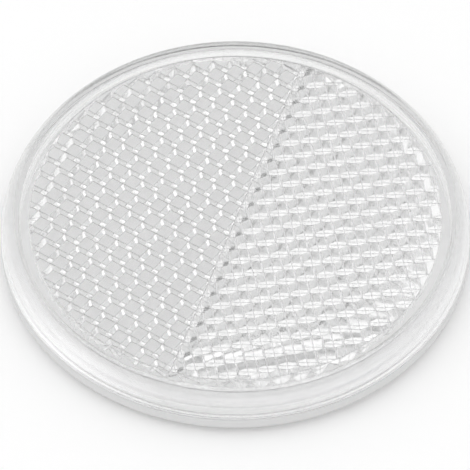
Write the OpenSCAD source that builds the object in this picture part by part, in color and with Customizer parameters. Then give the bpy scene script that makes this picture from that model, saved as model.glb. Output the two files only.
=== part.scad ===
// Round self-adhesive reflector. A clear moulded lens carries rows of cube corner prisms on its back
// and is welded to a shallow tray, which sits on a foam adhesive pad with its release liner.
// Origin at the centre of the underside, +Z out of the reflecting face, millimetres.

/* [Body] */
// Outer diameter of the lens and of the tray
body_d = 60; // [52:0.5:80]

/* [Lens] */
// Thickness of the clear front plate
face_t = 1.5; // [1:0.1:2]
// Height of the bulging clear side, from the weld seam up to the front face
lens_side_h = 4.4; // [3.9:0.1:6]
// How far the bulging side leans in between the weld seam and the front face
side_lean = 1.8; // [0.8:0.05:3]
// Radius that softens the edge of the front face
face_edge_r = 0.3; // [0.1:0.05:0.5]
// Height of the weld ridge that keeps the lens off the tray rim
weld_ridge_h = 0.06; // [0.03:0.01:0.15]
// Width of the blunt tip of the weld ridge
weld_tip_w = 0.05; // [0.03:0.01:0.2]
// Thickness of the skirt that reaches down into the tray
skirt_t = 1.2; // [1:0.1:2.4]

/* [Prisms] */
// Distance from one cube corner to the next
prism_pitch = 2.54; // [2:0.01:2.9]
// Height of the six-sided pins under the cube corners
pin_base_h = 0.3; // [0.1:0.05:0.5]
// Direction in which the rows of prisms run, from +X towards +Y
row_angle = 11.4; // [-30:0.2:30]
// Distance of the line that divides the two prism fields from the middle of the lens
divide_offset = 0.05; // [-2:0.05:2]
// Shift of the left field's cube corners across the dividing line
left_shift_across = -0.81; // [-1.3:0.01:1.3]
// Shift of the left field's cube corners along the dividing line
left_shift_along = 0.9; // [-1.3:0.01:1.3]
// Shift of the right field's cube corners across the dividing line
right_shift_across = 0.35; // [-1.3:0.01:1.3]
// Shift of the right field's cube corners along the dividing line
right_shift_along = 0.53; // [-1.3:0.01:1.3]
// Plain border kept between the prisms and the skirt
prism_border = 1.3; // [0.5:0.05:3]

/* [Tray] */
// Thickness of the tray floor
tray_floor_t = 1; // [0.7:0.1:1.4]
// Height of the tray from its underside up to the weld seam
tray_h = 1.8; // [1.6:0.1:3]
// Thickness of the tray rim round the skirt
tray_rim_t = 1.1; // [0.8:0.1:1.6]
// Radius of the tray's bottom edge
tray_edge_r = 0.4; // [0.1:0.05:0.6]

/* [Adhesive] */
// Thickness of the foam adhesive pad
pad_t = 0.8; // [0.4:0.1:2]
// Distance from the edge of the tray to the edge of the pad
pad_inset = 2.5; // [1:0.1:8]
// Thickness of the release liner
liner_t = 0.1; // [0.05:0.01:0.3]

/* [Fits] */
// Gap between the skirt and the tray rim
skirt_side_gap = 0.1; // [0.05:0.01:0.3]
// Gap between the end of the skirt and the tray floor
skirt_end_gap = 0.1; // [0.05:0.01:0.3]

/* [Hidden] */
$fn = 180;
arc_steps = 6;
side_steps = 12;
overlap = 0.2;

body_r = body_d / 2;
face_r = body_r - side_lean;
pad_r = body_r - pad_inset;
tray_bore_r = body_r - tray_rim_t;
skirt_r = tray_bore_r - skirt_side_gap;
cavity_r = skirt_r - skirt_t;
weld_r = (body_r + tray_bore_r) / 2;

tray_z = liner_t + pad_t;
floor_z = tray_z + tray_floor_t;
seam_z = tray_z + tray_h;
side_z = seam_z + weld_ridge_h;
face_z = seam_z + lens_side_h;
plate_back_z = face_z - face_t;
skirt_z = floor_z + skirt_end_gap;

// The pins end in cube corners. A cube that stands on its corner has its next corners one rise
// above it, and the three after those two rises above it.
corner_spacing = prism_pitch / sqrt(3);
prism_rise = prism_pitch / sqrt(6);
ridge_z = plate_back_z - pin_base_h;
apex_z = ridge_z - 2 * prism_rise;
pin_root_z = plate_back_z + overlap;

// Points of the arc that rounds the corner of an outline between its neighbours
function unit(v) = v / norm(v);
function rounded(before, corner, after, r) =
    let (
        to_before = unit(before - corner),
        to_after = unit(after - corner),
        half = acos(to_before * to_after) / 2,
        centre = corner + unit(to_before + to_after) * r / sin(half),
        start = corner + to_before * r / tan(half) - centre,
        end = corner + to_after * r / tan(half) - centre,
        turn = (start[0] * end[1] - start[1] * end[0] > 0 ? 1 : -1) * (180 - 2 * half)
    )
    [for (k = [0 : arc_steps])
        let (a = turn * k / arc_steps)
        centre + [start[0] * cos(a) - start[1] * sin(a), start[0] * sin(a) + start[1] * cos(a)]];

// The corners of the prisms lie on a triangular grid, and each cube corner is the middle of a
// hexagon of that grid. Column and row count the prisms along row_angle and 60 degrees from it.
// Each of the two fields has a grid of its own. The prisms of the left one are turned by 60 degrees.
LEFT = 0;
RIGHT = 1;
divide_angle = row_angle + 60;
across = [sin(divide_angle), -cos(divide_angle)];
along = [cos(divide_angle), sin(divide_angle)];
field_origin = [
    across * left_shift_across + along * left_shift_along,
    across * right_shift_across + along * right_shift_along];
column_step = prism_pitch * cos(30);
grid_a = corner_spacing * [cos(row_angle + 30), sin(row_angle + 30)];
grid_b = corner_spacing * [cos(row_angle + 90), sin(row_angle + 90)];
HEXAGON = [[1, 0], [0, 1], [-1, 1], [-1, 0], [0, -1], [1, -1]];
NEIGHBOURS = [[0, 1], [-1, 1], [-1, 0], [0, -1], [1, -1], [1, 0]];

function grid_index(cell) = [2 * cell[0] + cell[1], cell[1] - cell[0]];
function grid_point(field, g) = field_origin[field] + g[0] * grid_a + g[1] * grid_b;
function middle(field, cell) = grid_point(field, grid_index(cell));
function corner(field, cell, k) = grid_point(field, grid_index(cell) + HEXAGON[k % 6]);
function at(p, z) = [p[0], p[1], z];

// Hexagons fill a round field and reach a little past its edge and the dividing line, to be cut there
field_r = cavity_r - prism_border;
margin = corner_spacing + overlap;
reach = ceil((field_r + margin) / column_step) + 1;
function in_field(field, cell) =
    let (m = middle(field, cell), past = (m * across - divide_offset) * (field == LEFT ? 1 : -1))
    norm(m) < field_r + margin && past < margin;

function corner_z(field, k) = k % 2 == field ? ridge_z - prism_rise : ridge_z;
function prism_corner(field, cell, k) = at(corner(field, cell, k), corner_z(field, k));

// The three faces of a cube corner
function cube_faces(field, cell) = [
    for (k = [field : 2 : field + 4])
        concat([at(middle(field, cell), apex_z)],
            [for (n = [0 : 2]) prism_corner(field, cell, k + n)])];

// The six-sided root of a pin, inside the front plate
function root_face(field, cell) = [for (k = [5 : -1 : 0]) at(corner(field, cell, k), pin_root_z)];

// The side of a pin that has no neighbour
function outer_side(field, cell, k) = [
    prism_corner(field, cell, k),
    at(corner(field, cell, k), pin_root_z),
    at(corner(field, cell, k + 1), pin_root_z),
    prism_corner(field, cell, k + 1)];

function is_outer(field, cell, k) = !in_field(field, cell + NEIGHBOURS[k]);

module whole_field(field) {
    cells = [for (i = [-reach : reach], j = [-reach : reach]) if (in_field(field, [i, j])) [i, j]];
    faces = [
        for (cell = cells) each concat(
            cube_faces(field, cell),
            [root_face(field, cell)],
            [for (k = [0 : 5]) if (is_outer(field, cell, k)) outer_side(field, cell, k)])];
    starts = [for (i = 0, n = 0; i < len(faces); n = n + len(faces[i]), i = i + 1) n];
    polyhedron(
        points = [for (face = faces) each face],
        faces = [for (i = [0 : len(faces) - 1]) [for (v = [0 : len(faces[i]) - 1]) starts[i] + v]]);
}

// Half of the space, on the field's own side of the dividing line
module field_side(field) {
    rotate(divide_angle)
        translate([-body_d, field == LEFT ? -divide_offset : -divide_offset - body_d, 0])
            cube([2 * body_d, body_d, face_z]);
}

module prism_field(field) {
    intersection() {
        whole_field(field);
        field_side(field);
        cylinder(r = field_r, h = face_z);
    }
}

// The weld ridge stands on the middle of the tray rim
weld_ridge = [
    [weld_r - weld_tip_w / 2 - weld_ridge_h, side_z], [weld_r - weld_tip_w / 2, seam_z],
    [weld_r + weld_tip_w / 2, seam_z], [weld_r + weld_tip_w / 2 + weld_ridge_h, side_z]];

// The side of the lens rises upright from the seam and leans in along an arc
side_rise = face_z - side_z;
side_r = (side_lean ^ 2 + side_rise ^ 2) / (2 * side_lean);
side_turn = asin(side_rise / side_r);
function side_point(a) = [body_r - side_r * (1 - cos(a)), side_z + side_r * sin(a)];
side_arc = [for (k = [0 : side_steps]) side_point(side_turn * k / side_steps)];

module lens_shell() {
    rotate_extrude()
        polygon(concat(
            [[0, plate_back_z], [cavity_r, plate_back_z], [cavity_r, skirt_z],
                [skirt_r, skirt_z], [skirt_r, side_z]],
            weld_ridge,
            [for (k = [0 : side_steps - 1]) side_arc[k]],
            rounded(side_arc[side_steps - 1], [face_r, face_z], [0, face_z], face_edge_r),
            [[0, face_z]]));
}

module lens() {
    color([0.93, 0.94, 0.94, 0.6]) {
        union() {
            lens_shell();
            prism_field(LEFT);
            prism_field(RIGHT);
        }
    }
}

module back_plate() {
    color([0.8, 0.81, 0.81])
        rotate_extrude()
            polygon(concat(
                [[0, tray_z]],
                rounded([0, tray_z], [body_r, tray_z], [body_r, seam_z], tray_edge_r),
                [[body_r, seam_z], [tray_bore_r, seam_z], [tray_bore_r, floor_z], [0, floor_z]]));
}

module adhesive_pad() {
    color([0.86, 0.86, 0.84])
        translate([0, 0, liner_t])
            cylinder(r = pad_r, h = pad_t);
}

module release_liner() {
    color([0.96, 0.96, 0.95])
        cylinder(r = pad_r, h = liner_t);
}

lens();
back_plate();
adhesive_pad();
release_liner();
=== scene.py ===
"""Round self-adhesive reflector: the finish of its four pieces and a plain studio stage.

The clear lens is real refracting acrylic over cube corner prisms, so the sparkle of its two halves
comes from the shape and the light, while the dark lines along its prism edges and its dividing
line are painted shade. The file is laid out as an add-on and is run as a script.
"""

import math

import bpy
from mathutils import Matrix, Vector


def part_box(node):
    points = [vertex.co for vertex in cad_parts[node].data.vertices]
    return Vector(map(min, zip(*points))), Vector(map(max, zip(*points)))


bl_info = {
    "name": "Adhesive Reflector",
    "version": (1, 0, 0),
    "blender": (4, 5, 0),
    "location": "3D View > Sidebar > Reflector",
    "description": "Finishes and stages a round self-adhesive reflector",
    "category": "Object",
}

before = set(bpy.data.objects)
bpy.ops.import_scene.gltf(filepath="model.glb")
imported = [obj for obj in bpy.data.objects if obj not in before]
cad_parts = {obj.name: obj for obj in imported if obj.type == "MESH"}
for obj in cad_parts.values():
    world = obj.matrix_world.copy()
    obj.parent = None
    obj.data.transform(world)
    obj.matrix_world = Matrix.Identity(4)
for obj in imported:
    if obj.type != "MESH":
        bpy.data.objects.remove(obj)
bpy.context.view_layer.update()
_, LENS_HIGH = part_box("lens")
TRAY_LOW, TRAY_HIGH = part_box("back_plate")

MM = 0.001

# The rim of the lens is clear and satin all round the plate
RIM_WIDTH = 2.45 * MM

# The prisms hang from the plate, just deeper than PRISMS_BELOW under the front face, in two fields
# that meet at the dividing line
PRISMS_BELOW = 1.4 * MM
DIVIDE_ANGLE = math.radians(71.4)
DIVIDE_OFFSET = 0.05 * MM
DIVIDE_WIDTH = 0.02 * MM

# Share of the painted edge shade that the dividing line takes
DIVIDE_SHADE = 0.85

# Likeness of the rounded normal to the face's own at which an edge begins and where it is full
EDGE_BEGINS = 0.999
EDGE_FULL = 0.95

# Share of X in an edge's direction at which the edge still takes no painted shade and at which its
# painted shade is darkest
CLEAR_EDGE = 0.35
DARK_EDGE = 0.78

# Roughness of the plate where its marks are strongest, of the rounded edges and of the rim
POLISHED = 0.1
ROUNDED_EDGE = 0.4
SATIN_RIM = 0.22

# Waves of noise along one metre
RIPPLE_SCALE = 900
MARKS_SCALE = 900
GRAIN_SCALE = 9000
FOAM_CELL_SCALE = 4500
FILM_WAVE_SCALE = 120

# Noise below and above these values counts as lowest and highest
NOISE_LOW = 0.3
NOISE_HIGH = 0.7

# The tray's inside begins this far in from its outer side and this far up from its underside
INSIDE_INSET = 0.05 * MM
INSIDE_RISE = 0.5 * MM

# Strength of the surroundings on matt faces, and of the soft panels that glass sees in them
MATT_LIGHT = 0.97
PANEL_DARK = 0.7
PANEL_BRIGHT = 1.2
PANEL_SCALE = 5

# Bounces of light in the prisms and between matt faces
CLEAR_BOUNCES = 48
MATT_BOUNCES = 24


class ReflectorFinish(bpy.types.PropertyGroup):
    """Colours and finishes of the four pieces."""

    acrylic_tint: bpy.props.FloatVectorProperty(
        name="Acrylic tint",
        description="Colour that the clear lens gives to light",
        subtype="COLOR",
        default=(0.998, 0.999, 0.999),
    )
    # Painted shade: a near-black colour that darkens the lens's rounded edges, more along X than
    # along Y
    edge_painted_shade: bpy.props.FloatVectorProperty(
        name="Edge tint",
        description="Colour of light that passes through the rounded edges",
        subtype="COLOR",
        default=(0.02, 0.02, 0.02),
    )
    acrylic_ior: bpy.props.FloatProperty(
        name="Acrylic IOR", description="Refractive index of the lens", default=1.53
    )
    edge_radius: bpy.props.FloatProperty(
        name="Edge radius",
        description="Radius that moulding leaves on the edges of the prisms",
        subtype="DISTANCE",
        unit="LENGTH",
        default=0.2 * MM,
    )
    ripple_height: bpy.props.FloatProperty(
        name="Ripple height",
        description="Height of the faint waves that moulding leaves in the faces",
        subtype="DISTANCE",
        unit="LENGTH",
        default=0.010 * MM,
    )
    tray_colour: bpy.props.FloatVectorProperty(
        name="Tray colour",
        description="Pale grey of the moulded tray's outer side",
        subtype="COLOR",
        default=(0.68, 0.68, 0.68),
    )
    # Painted light: the tray's inside under the lens is a paler grey than its outer side, to make
    # up for light that the lens holds back
    tray_inside_painted_light_colour: bpy.props.FloatVectorProperty(
        name="Tray inside colour",
        description="Paler grey of the tray behind the prisms",
        subtype="COLOR",
        default=(0.77, 0.77, 0.77),
    )
    foam_colour: bpy.props.FloatVectorProperty(
        name="Foam colour",
        description="Off-white of the adhesive foam pad",
        subtype="COLOR",
        default=(0.72, 0.72, 0.70),
    )
    liner_colour: bpy.props.FloatVectorProperty(
        name="Liner colour",
        description="Pale film of the release liner",
        subtype="COLOR",
        default=(0.80, 0.80, 0.78),
    )


class ReflectorStage(bpy.types.PropertyGroup):
    """Camera and floor."""

    elevation: bpy.props.FloatProperty(
        name="Elevation",
        description="Height of the camera above the horizon",
        subtype="ANGLE",
        default=math.radians(51.64),
    )
    camera_distance: bpy.props.FloatProperty(
        name="Camera distance",
        description="Distance from the camera to the reflector",
        subtype="DISTANCE",
        unit="LENGTH",
        default=0.9,
    )
    picture_width: bpy.props.FloatProperty(
        name="Picture width",
        description="Width of the view at the reflector",
        subtype="DISTANCE",
        unit="LENGTH",
        default=60.13 * MM,
    )
    aim_height: bpy.props.FloatProperty(
        name="Aim height",
        description="Height on the reflector's axis that the camera looks at",
        subtype="DISTANCE",
        unit="LENGTH",
        default=2.2 * MM,
    )
    side_shift: bpy.props.FloatProperty(
        name="Side shift",
        description="Part of the picture's width by which the view moves sideways",
        default=-0.0009,
    )
    floor_colour: bpy.props.FloatVectorProperty(
        name="Floor colour",
        description="Pale colour of the floor",
        subtype="COLOR",
        default=(1.0, 1.0, 1.0),
    )


def finish_settings():
    return bpy.context.scene.reflector_finish


def stage_settings():
    return bpy.context.scene.reflector_stage


def new_material(name):
    """A node material with only its output and a Principled shader."""
    material = bpy.data.materials.new(name)
    material.use_nodes = True
    tree = material.node_tree
    tree.nodes.clear()
    output = tree.nodes.new("ShaderNodeOutputMaterial")
    shader = tree.nodes.new("ShaderNodeBsdfPrincipled")
    tree.links.new(shader.outputs["BSDF"], output.inputs["Surface"])
    return material, tree, shader


def add_node(tree, kind, **inputs):
    """A new node with its inputs set by name."""
    node = tree.nodes.new(kind)
    for key, value in inputs.items():
        node.inputs[key.replace("_", " ")].default_value = value
    return node


def feed(tree, sockets, values):
    """Gives each input socket another node's output or a plain value."""
    for socket, value in zip(sockets, values):
        if isinstance(value, bpy.types.NodeSocket):
            tree.links.new(value, socket)
        else:
            socket.default_value = value


def calculate(tree, operation, *values):
    """Result of a Math node. A comparison gives one where it holds and zero elsewhere."""
    node = tree.nodes.new("ShaderNodeMath")
    node.operation = operation
    feed(tree, node.inputs, values)
    return node.outputs["Value"]


def calculate_vector(tree, operation, *values):
    """Result of a Vector Math node, which is a number for a dot product or a length."""
    node = tree.nodes.new("ShaderNodeVectorMath")
    node.operation = operation
    feed(tree, node.inputs, values)
    return node.outputs["Value" if operation in ("DOT_PRODUCT", "LENGTH") else "Vector"]


def choose(tree, factor, off, on):
    """The first value where the factor is zero and the second where it is one."""
    node = tree.nodes.new("ShaderNodeMix")
    feed(tree, [node.inputs[name] for name in ("Factor", "A", "B")], (factor, off, on))
    return node.outputs["Result"]


def choose_colour(tree, factor, off, on):
    """The first colour where the factor is zero and the second where it is one."""
    node = tree.nodes.new("ShaderNodeMix")
    node.data_type = "RGBA"
    colours = (*off, 1), (*on, 1)
    feed(tree, [node.inputs[name] for name in ("Factor", "A", "B")], (factor, *colours))
    return node.outputs["Result"]


def spread(tree, value, low, high, start=NOISE_LOW, end=NOISE_HIGH):
    """Maps a value's stretch from start to end to the stretch from low to high."""
    node = add_node(
        tree, "ShaderNodeMapRange", From_Min=start, From_Max=end, To_Min=low, To_Max=high
    )
    tree.links.new(value, node.inputs["Value"])
    return node.outputs["Result"]


def place_on_piece(tree):
    """Place from the reflector's origin, which is the origin of every piece."""
    return tree.nodes.new("ShaderNodeTexCoord").outputs["Object"]


def share(tree, vector, axis):
    """The X, Y or Z of a vector."""
    parts = tree.nodes.new("ShaderNodeSeparateXYZ")
    tree.links.new(vector, parts.inputs["Vector"])
    return parts.outputs[axis]


def axis_distance(tree):
    """Distance from the reflector's axis."""
    flat = calculate_vector(tree, "MULTIPLY", place_on_piece(tree), (1, 1, 0))
    return calculate_vector(tree, "LENGTH", flat)


def object_noise(tree, scale, detail):
    """Noise on Object coordinates."""
    noise = add_node(tree, "ShaderNodeTexNoise", Scale=scale, Detail=detail)
    tree.links.new(place_on_piece(tree), noise.inputs["Vector"])
    return noise.outputs["Fac"]


def bump(tree, shader, height, strength, distance, normal=None):
    """Raises the shader's surface by a height, on top of a normal if one is given."""
    node = add_node(tree, "ShaderNodeBump", Strength=strength, Distance=distance)
    if normal:
        tree.links.new(normal, node.inputs["Normal"])
    tree.links.new(height, node.inputs["Height"])
    tree.links.new(node.outputs["Normal"], shader.inputs["Normal"])


def inside_tray(tree):
    """One on the tray's faces under the lens, which take the paler painted-light grey, zero on its
    outer side and underside.
    """
    within = calculate(tree, "LESS_THAN", axis_distance(tree), TRAY_HIGH[0] - INSIDE_INSET)
    height = share(tree, place_on_piece(tree), "Z")
    above = calculate(tree, "GREATER_THAN", height, TRAY_LOW[2] + INSIDE_RISE)
    return calculate(tree, "MULTIPLY", within, above)


def edge_shade_by_direction(tree, face_normal, rounded_normal):
    """How much painted shade an edge takes, by its direction: most along the lens's X and least
    along its Y.
    """
    edge = calculate_vector(tree, "CROSS_PRODUCT", face_normal, rounded_normal)
    own = tree.nodes.new("ShaderNodeVectorTransform")
    own.vector_type = "VECTOR"
    own.convert_from = "WORLD"
    own.convert_to = "OBJECT"
    tree.links.new(edge, own.inputs["Vector"])
    direction = calculate_vector(tree, "NORMALIZE", own.outputs["Vector"])
    size = calculate_vector(tree, "ABSOLUTE", direction)
    return spread(tree, share(tree, size, "X"), 0, 1, start=CLEAR_EDGE, end=DARK_EDGE)


def painted_edge_shade(tree, rounded_normal):
    """Painted shade of the prism edges: up to one along the edges, where the rounded normal leaves
    the face's own, zero on flats.
    """
    face_normal = tree.nodes.new("ShaderNodeNewGeometry").outputs["True Normal"]
    likeness = calculate_vector(tree, "DOT_PRODUCT", rounded_normal, face_normal)
    bend = spread(tree, likeness, 0, 1, start=EDGE_BEGINS, end=EDGE_FULL)
    return calculate(tree, "MULTIPLY", bend, edge_shade_by_direction(tree, face_normal, rounded_normal))


def dividing_line_shade(tree):
    """One on the narrow wall between the two prism fields, which takes painted shade, zero
    elsewhere.
    """
    place = place_on_piece(tree)
    across = (math.sin(DIVIDE_ANGLE), -math.cos(DIVIDE_ANGLE), 0)
    away = calculate_vector(tree, "DOT_PRODUCT", place, across)
    distance = calculate(tree, "ABSOLUTE", calculate(tree, "SUBTRACT", away, DIVIDE_OFFSET))
    near = calculate(tree, "LESS_THAN", distance, DIVIDE_WIDTH / 2)
    below = calculate(tree, "LESS_THAN", share(tree, place, "Z"), LENS_HIGH[2] - PRISMS_BELOW)
    return calculate(tree, "MULTIPLY", near, below)


def clear_acrylic():
    """Clear moulded acrylic with rounded prism edges in painted shade, a polished plate and a
    satin rim.
    """
    settings = finish_settings()
    material, tree, shader = new_material("clear_acrylic")
    shader.inputs["Transmission Weight"].default_value = 1.0
    shader.inputs["IOR"].default_value = settings.acrylic_ior
    edges = add_node(tree, "ShaderNodeBevel", Radius=settings.edge_radius)
    edges.samples = 4
    rounded_normal = edges.outputs["Normal"]
    # Painted shade: the rounded edges and the dividing line take the near-black edge colour in
    # place of the acrylic's tint
    dark = choose(tree, dividing_line_shade(tree), painted_edge_shade(tree, rounded_normal), DIVIDE_SHADE)
    tint = choose_colour(tree, dark, settings.acrylic_tint, settings.edge_painted_shade)
    tree.links.new(tint, shader.inputs["Base Color"])
    marks = spread(tree, object_noise(tree, MARKS_SCALE, detail=4), low=0, high=POLISHED)
    plate = choose(tree, dark, marks, ROUNDED_EDGE)
    rim = calculate(tree, "GREATER_THAN", axis_distance(tree), LENS_HIGH[0] - RIM_WIDTH)
    tree.links.new(choose(tree, rim, plate, SATIN_RIM), shader.inputs["Roughness"])
    ripple = object_noise(tree, RIPPLE_SCALE, detail=1)
    bump(tree, shader, ripple, strength=1, distance=settings.ripple_height, normal=rounded_normal)
    return material


def tray_plastic():
    """Satin moulded plastic with a fine spark-eroded grain, painted a paler grey under the lens as
    painted light.
    """
    settings = finish_settings()
    material, tree, shader = new_material("tray_plastic")
    # Painted light: the paler grey on the tray's inside, one plastic shown in two greys
    colour = choose_colour(
        tree, inside_tray(tree), settings.tray_colour, settings.tray_inside_painted_light_colour
    )
    tree.links.new(colour, shader.inputs["Base Color"])
    grain = object_noise(tree, GRAIN_SCALE, detail=2)
    tree.links.new(spread(tree, grain, low=0.42, high=0.58), shader.inputs["Roughness"])
    bump(tree, shader, grain, strength=0.25, distance=0.02 * MM)
    return material


def adhesive_foam():
    """Closed-cell foam with small open bubbles at its cut edge."""
    material, tree, shader = new_material("adhesive_foam")
    shader.inputs["Base Color"].default_value = (*finish_settings().foam_colour, 1)
    shader.inputs["Roughness"].default_value = 0.85
    cells = object_noise(tree, FOAM_CELL_SCALE, detail=3)
    bump(tree, shader, cells, strength=0.8, distance=0.06 * MM)
    return material


def liner_film():
    """Smooth release film with a soft waviness."""
    material, tree, shader = new_material("liner_film")
    shader.inputs["Base Color"].default_value = (*finish_settings().liner_colour, 1)
    waves = object_noise(tree, FILM_WAVE_SCALE, detail=2)
    tree.links.new(spread(tree, waves, low=0.28, high=0.4), shader.inputs["Roughness"])
    bump(tree, shader, waves, strength=0.2, distance=0.05 * MM)
    return material


def dress(node_name, material):
    """Gives a CAD node its finish."""
    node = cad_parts[node_name]
    for slot in node.material_slots:
        slot.material = material


class REFLECTOR_OT_lens(bpy.types.Operator):
    """Finish the clear lens with its prisms"""

    bl_idname = "reflector.lens"
    bl_label = "Clear Lens"

    def execute(self, context):
        dress("lens", clear_acrylic())
        return {"FINISHED"}


class REFLECTOR_OT_tray(bpy.types.Operator):
    """Finish the moulded tray behind the lens"""

    bl_idname = "reflector.tray"
    bl_label = "Tray"

    def execute(self, context):
        dress("back_plate", tray_plastic())
        return {"FINISHED"}


class REFLECTOR_OT_adhesive(bpy.types.Operator):
    """Finish the foam adhesive pad and its release liner"""

    bl_idname = "reflector.adhesive"
    bl_label = "Adhesive Pad and Liner"

    def execute(self, context):
        dress("adhesive_pad", adhesive_foam())
        dress("release_liner", liner_film())
        return {"FINISHED"}


def add_camera():
    """A distant camera that looks down at the middle of the reflector."""
    settings = stage_settings()
    data = bpy.data.cameras.new("camera")
    data.sensor_width = 36
    data.lens = data.sensor_width * settings.camera_distance / settings.picture_width
    data.shift_x = settings.side_shift
    data.clip_start, data.clip_end = 0.01, 20
    camera = bpy.data.objects.new("camera", data)
    bpy.context.scene.collection.objects.link(camera)
    aim = Vector((0, 0, settings.aim_height))
    back = Vector((0, -math.cos(settings.elevation), math.sin(settings.elevation)))
    camera.location = aim + back * settings.camera_distance
    camera.rotation_euler = back.to_track_quat("Z", "Y").to_euler()
    bpy.context.scene.camera = camera


def add_floor():
    """A pale matt floor under the release liner."""
    bpy.ops.object.select_all(action="DESELECT")
    bpy.ops.mesh.primitive_plane_add(size=6, location=(0, 0, 0))
    floor = bpy.context.object
    floor.name = "floor"
    material, _, shader = new_material("floor")
    shader.inputs["Base Color"].default_value = (*stage_settings().floor_colour, 1)
    shader.inputs["Roughness"].default_value = 0.9
    floor.data.materials.append(material)


def add_softbox(name, location, size, power):
    """A square lamp that points at the reflector."""
    data = bpy.data.lights.new(name, "AREA")
    data.shape = "SQUARE"
    data.size = size
    data.energy = power
    lamp = bpy.data.objects.new(name, data)
    lamp.location = location
    lamp.rotation_euler = Vector(location).to_track_quat("Z", "Y").to_euler()
    bpy.context.scene.collection.objects.link(lamp)


def light_world():
    """Even surroundings: white to the camera, nearly white on matt faces, soft panels to glass."""
    world = bpy.data.worlds.new("studio")
    bpy.context.scene.world = world
    world.use_nodes = True
    tree = world.node_tree
    background = tree.nodes["Background"]
    background.inputs["Color"].default_value = (1, 1, 1, 1)
    path = tree.nodes.new("ShaderNodeLightPath")
    matt = calculate(tree, "GREATER_THAN", path.outputs["Diffuse Depth"], 0)
    coordinates = tree.nodes.new("ShaderNodeTexCoord")
    panels = add_node(tree, "ShaderNodeTexNoise", Scale=PANEL_SCALE, Detail=1)
    tree.links.new(coordinates.outputs["Generated"], panels.inputs["Vector"])
    glass = spread(tree, panels.outputs["Fac"], PANEL_DARK, PANEL_BRIGHT)
    seen = choose(tree, matt, glass, MATT_LIGHT)
    strength = choose(tree, path.outputs["Is Camera Ray"], seen, 1)
    tree.links.new(strength, background.inputs["Strength"])


class REFLECTOR_OT_stage(bpy.types.Operator):
    """Set up the camera, the pale floor and the soft lights"""

    bl_idname = "reflector.stage"
    bl_label = "Studio Stage"

    def execute(self, context):
        add_camera()
        add_floor()
        light_world()
        add_softbox("key_softbox", location=(-0.7, 0.0, 0.82), size=0.6, power=0.5)
        context.scene.view_settings.view_transform = "Standard"
        cycles = context.scene.cycles
        cycles.max_bounces = CLEAR_BOUNCES
        cycles.transmission_bounces = CLEAR_BOUNCES
        cycles.glossy_bounces = MATT_BOUNCES
        cycles.diffuse_bounces = MATT_BOUNCES
        # Filtered rays would leave the tray behind the prisms far too dark
        cycles.blur_glossy = 0.0
        return {"FINISHED"}


class REFLECTOR_PT_panel(bpy.types.Panel):
    """Lists the steps that finish and stage the reflector"""

    bl_idname = "REFLECTOR_PT_panel"
    bl_label = "Adhesive Reflector"
    bl_space_type = "VIEW_3D"
    bl_region_type = "UI"
    bl_category = "Reflector"

    def draw(self, context):
        layout = self.layout
        for group in (context.scene.reflector_finish, context.scene.reflector_stage):
            box = layout.box()
            for name in group.__annotations__:
                box.prop(group, name)
        for operator in STEPS:
            layout.operator(operator.bl_idname)


STEPS = (REFLECTOR_OT_stage, REFLECTOR_OT_lens, REFLECTOR_OT_tray, REFLECTOR_OT_adhesive)
CLASSES = (ReflectorFinish, ReflectorStage, *STEPS, REFLECTOR_PT_panel)


def register():
    for cls in CLASSES:
        bpy.utils.register_class(cls)
    bpy.types.Scene.reflector_finish = bpy.props.PointerProperty(type=ReflectorFinish)
    bpy.types.Scene.reflector_stage = bpy.props.PointerProperty(type=ReflectorStage)


def unregister():
    del bpy.types.Scene.reflector_stage
    del bpy.types.Scene.reflector_finish
    for cls in reversed(CLASSES):
        bpy.utils.unregister_class(cls)


def main():
    register()
    bpy.ops.reflector.stage()
    bpy.ops.reflector.lens()
    bpy.ops.reflector.tray()
    bpy.ops.reflector.adhesive()


if __name__ == "__main__":
    main()
